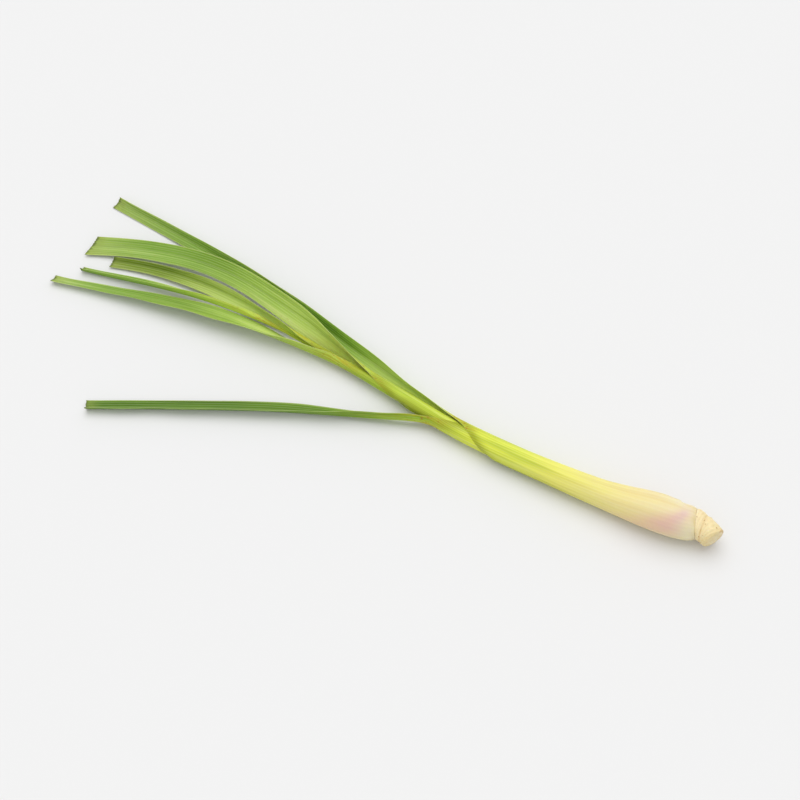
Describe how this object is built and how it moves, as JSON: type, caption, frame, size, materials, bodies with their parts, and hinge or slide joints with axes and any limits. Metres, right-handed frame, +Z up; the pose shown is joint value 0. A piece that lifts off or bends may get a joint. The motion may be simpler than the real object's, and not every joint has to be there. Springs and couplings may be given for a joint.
{
  "type": "lemongrass stalk",
  "caption": "Fresh lemongrass stalk lying down, with a pale swollen base, rolled overlapping leaf sheaths and long folded green blades that fan out to trimmed ends.",
  "frame": {"origin": "middle of the bounding box, on the table the stalk lies on", "axes": "+X along the stalk from the cut base to the leaf ends, +Y towards the side with the most spread blade, +Z up from the table"},
  "size_m": [0.4362, 0.145, 0.0224],
  "materials": {
    "root_tissue": "matte, knobbly, tan cut root tissue",
    "outer_leaf": "satin leaf skin, cream and blush at the base, pale yellow above, green on the blade",
    "inner_leaf": "satin leaf skin, pale at the base, green with fine lengthwise veins on the blade",
    "heart_leaf": "satin young leaf, pale at the base, fresh green on the blade"
  },
  "bodies": {
    "root": {"root_plate": "root_tissue", "leaf_1_outer": "outer_leaf", "leaf_2": "inner_leaf", "leaf_3": "inner_leaf", "leaf_4": "inner_leaf", "leaf_5": "inner_leaf", "leaf_6_heart": "heart_leaf"}
  },
  "joints": []
}
